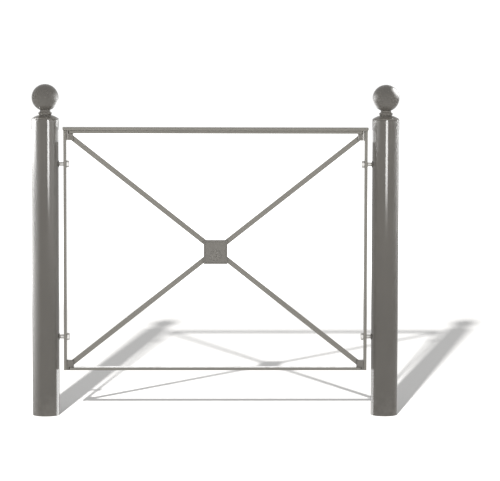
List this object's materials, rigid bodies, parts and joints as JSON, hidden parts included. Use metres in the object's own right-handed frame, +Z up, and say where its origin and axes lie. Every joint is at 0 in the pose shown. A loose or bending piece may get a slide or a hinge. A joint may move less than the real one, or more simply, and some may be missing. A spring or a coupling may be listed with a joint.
{
  "type": "garden barrier",
  "caption": "Fixed garden barrier: a cross-braced flat-bar panel with a square medallion, bolted between round posts with domed caps and ball finials.",
  "frame": {"origin": "on the ground midway between the two posts", "axes": "+X along the barrier to the right post, +Y to the back of the barrier, +Z up"},
  "size_m": [1.0382, 0.076, 0.9389],
  "materials": {
    "post_paint": "glossy warm grey paint",
    "frame_paint": "glossy warm grey paint on bar",
    "cast_paint": "satin warm grey paint on castings",
    "bolt_steel": "bright stainless steel",
    "inner_steel": "plain zinc plated"
  },
  "bodies": {
    "root": {"left_post_tube": "post_paint", "left_post_cap": "post_paint", "left_finial_collar": "post_paint", "left_finial_ball": "post_paint", "left_finial_stud": "inner_steel", "left_cap_nut": "inner_steel", "left_stile": "frame_paint", "left_upper_corner": "cast_paint", "left_upper_bolt": "bolt_steel", "left_upper_boss": "post_paint", "left_lower_corner": "cast_paint", "left_lower_bolt": "bolt_steel", "left_lower_boss": "post_paint", "right_post_tube": "post_paint", "right_post_cap": "post_paint", "right_finial_collar": "post_paint", "right_finial_ball": "post_paint", "right_finial_stud": "inner_steel", "right_cap_nut": "inner_steel", "right_stile": "frame_paint", "right_upper_corner": "cast_paint", "right_upper_bolt": "bolt_steel", "right_upper_boss": "post_paint", "right_lower_corner": "cast_paint", "right_lower_bolt": "bolt_steel", "right_lower_boss": "post_paint", "top_rail": "frame_paint", "bottom_rail": "frame_paint", "handrail": "frame_paint", "diagonal_through": "frame_paint", "diagonal_upper_right": "frame_paint", "diagonal_lower_left": "frame_paint", "medallion_front": "cast_paint", "medallion_back": "cast_paint", "rosette_front": "cast_paint", "rosette_back": "cast_paint"}
  },
  "joints": []
}
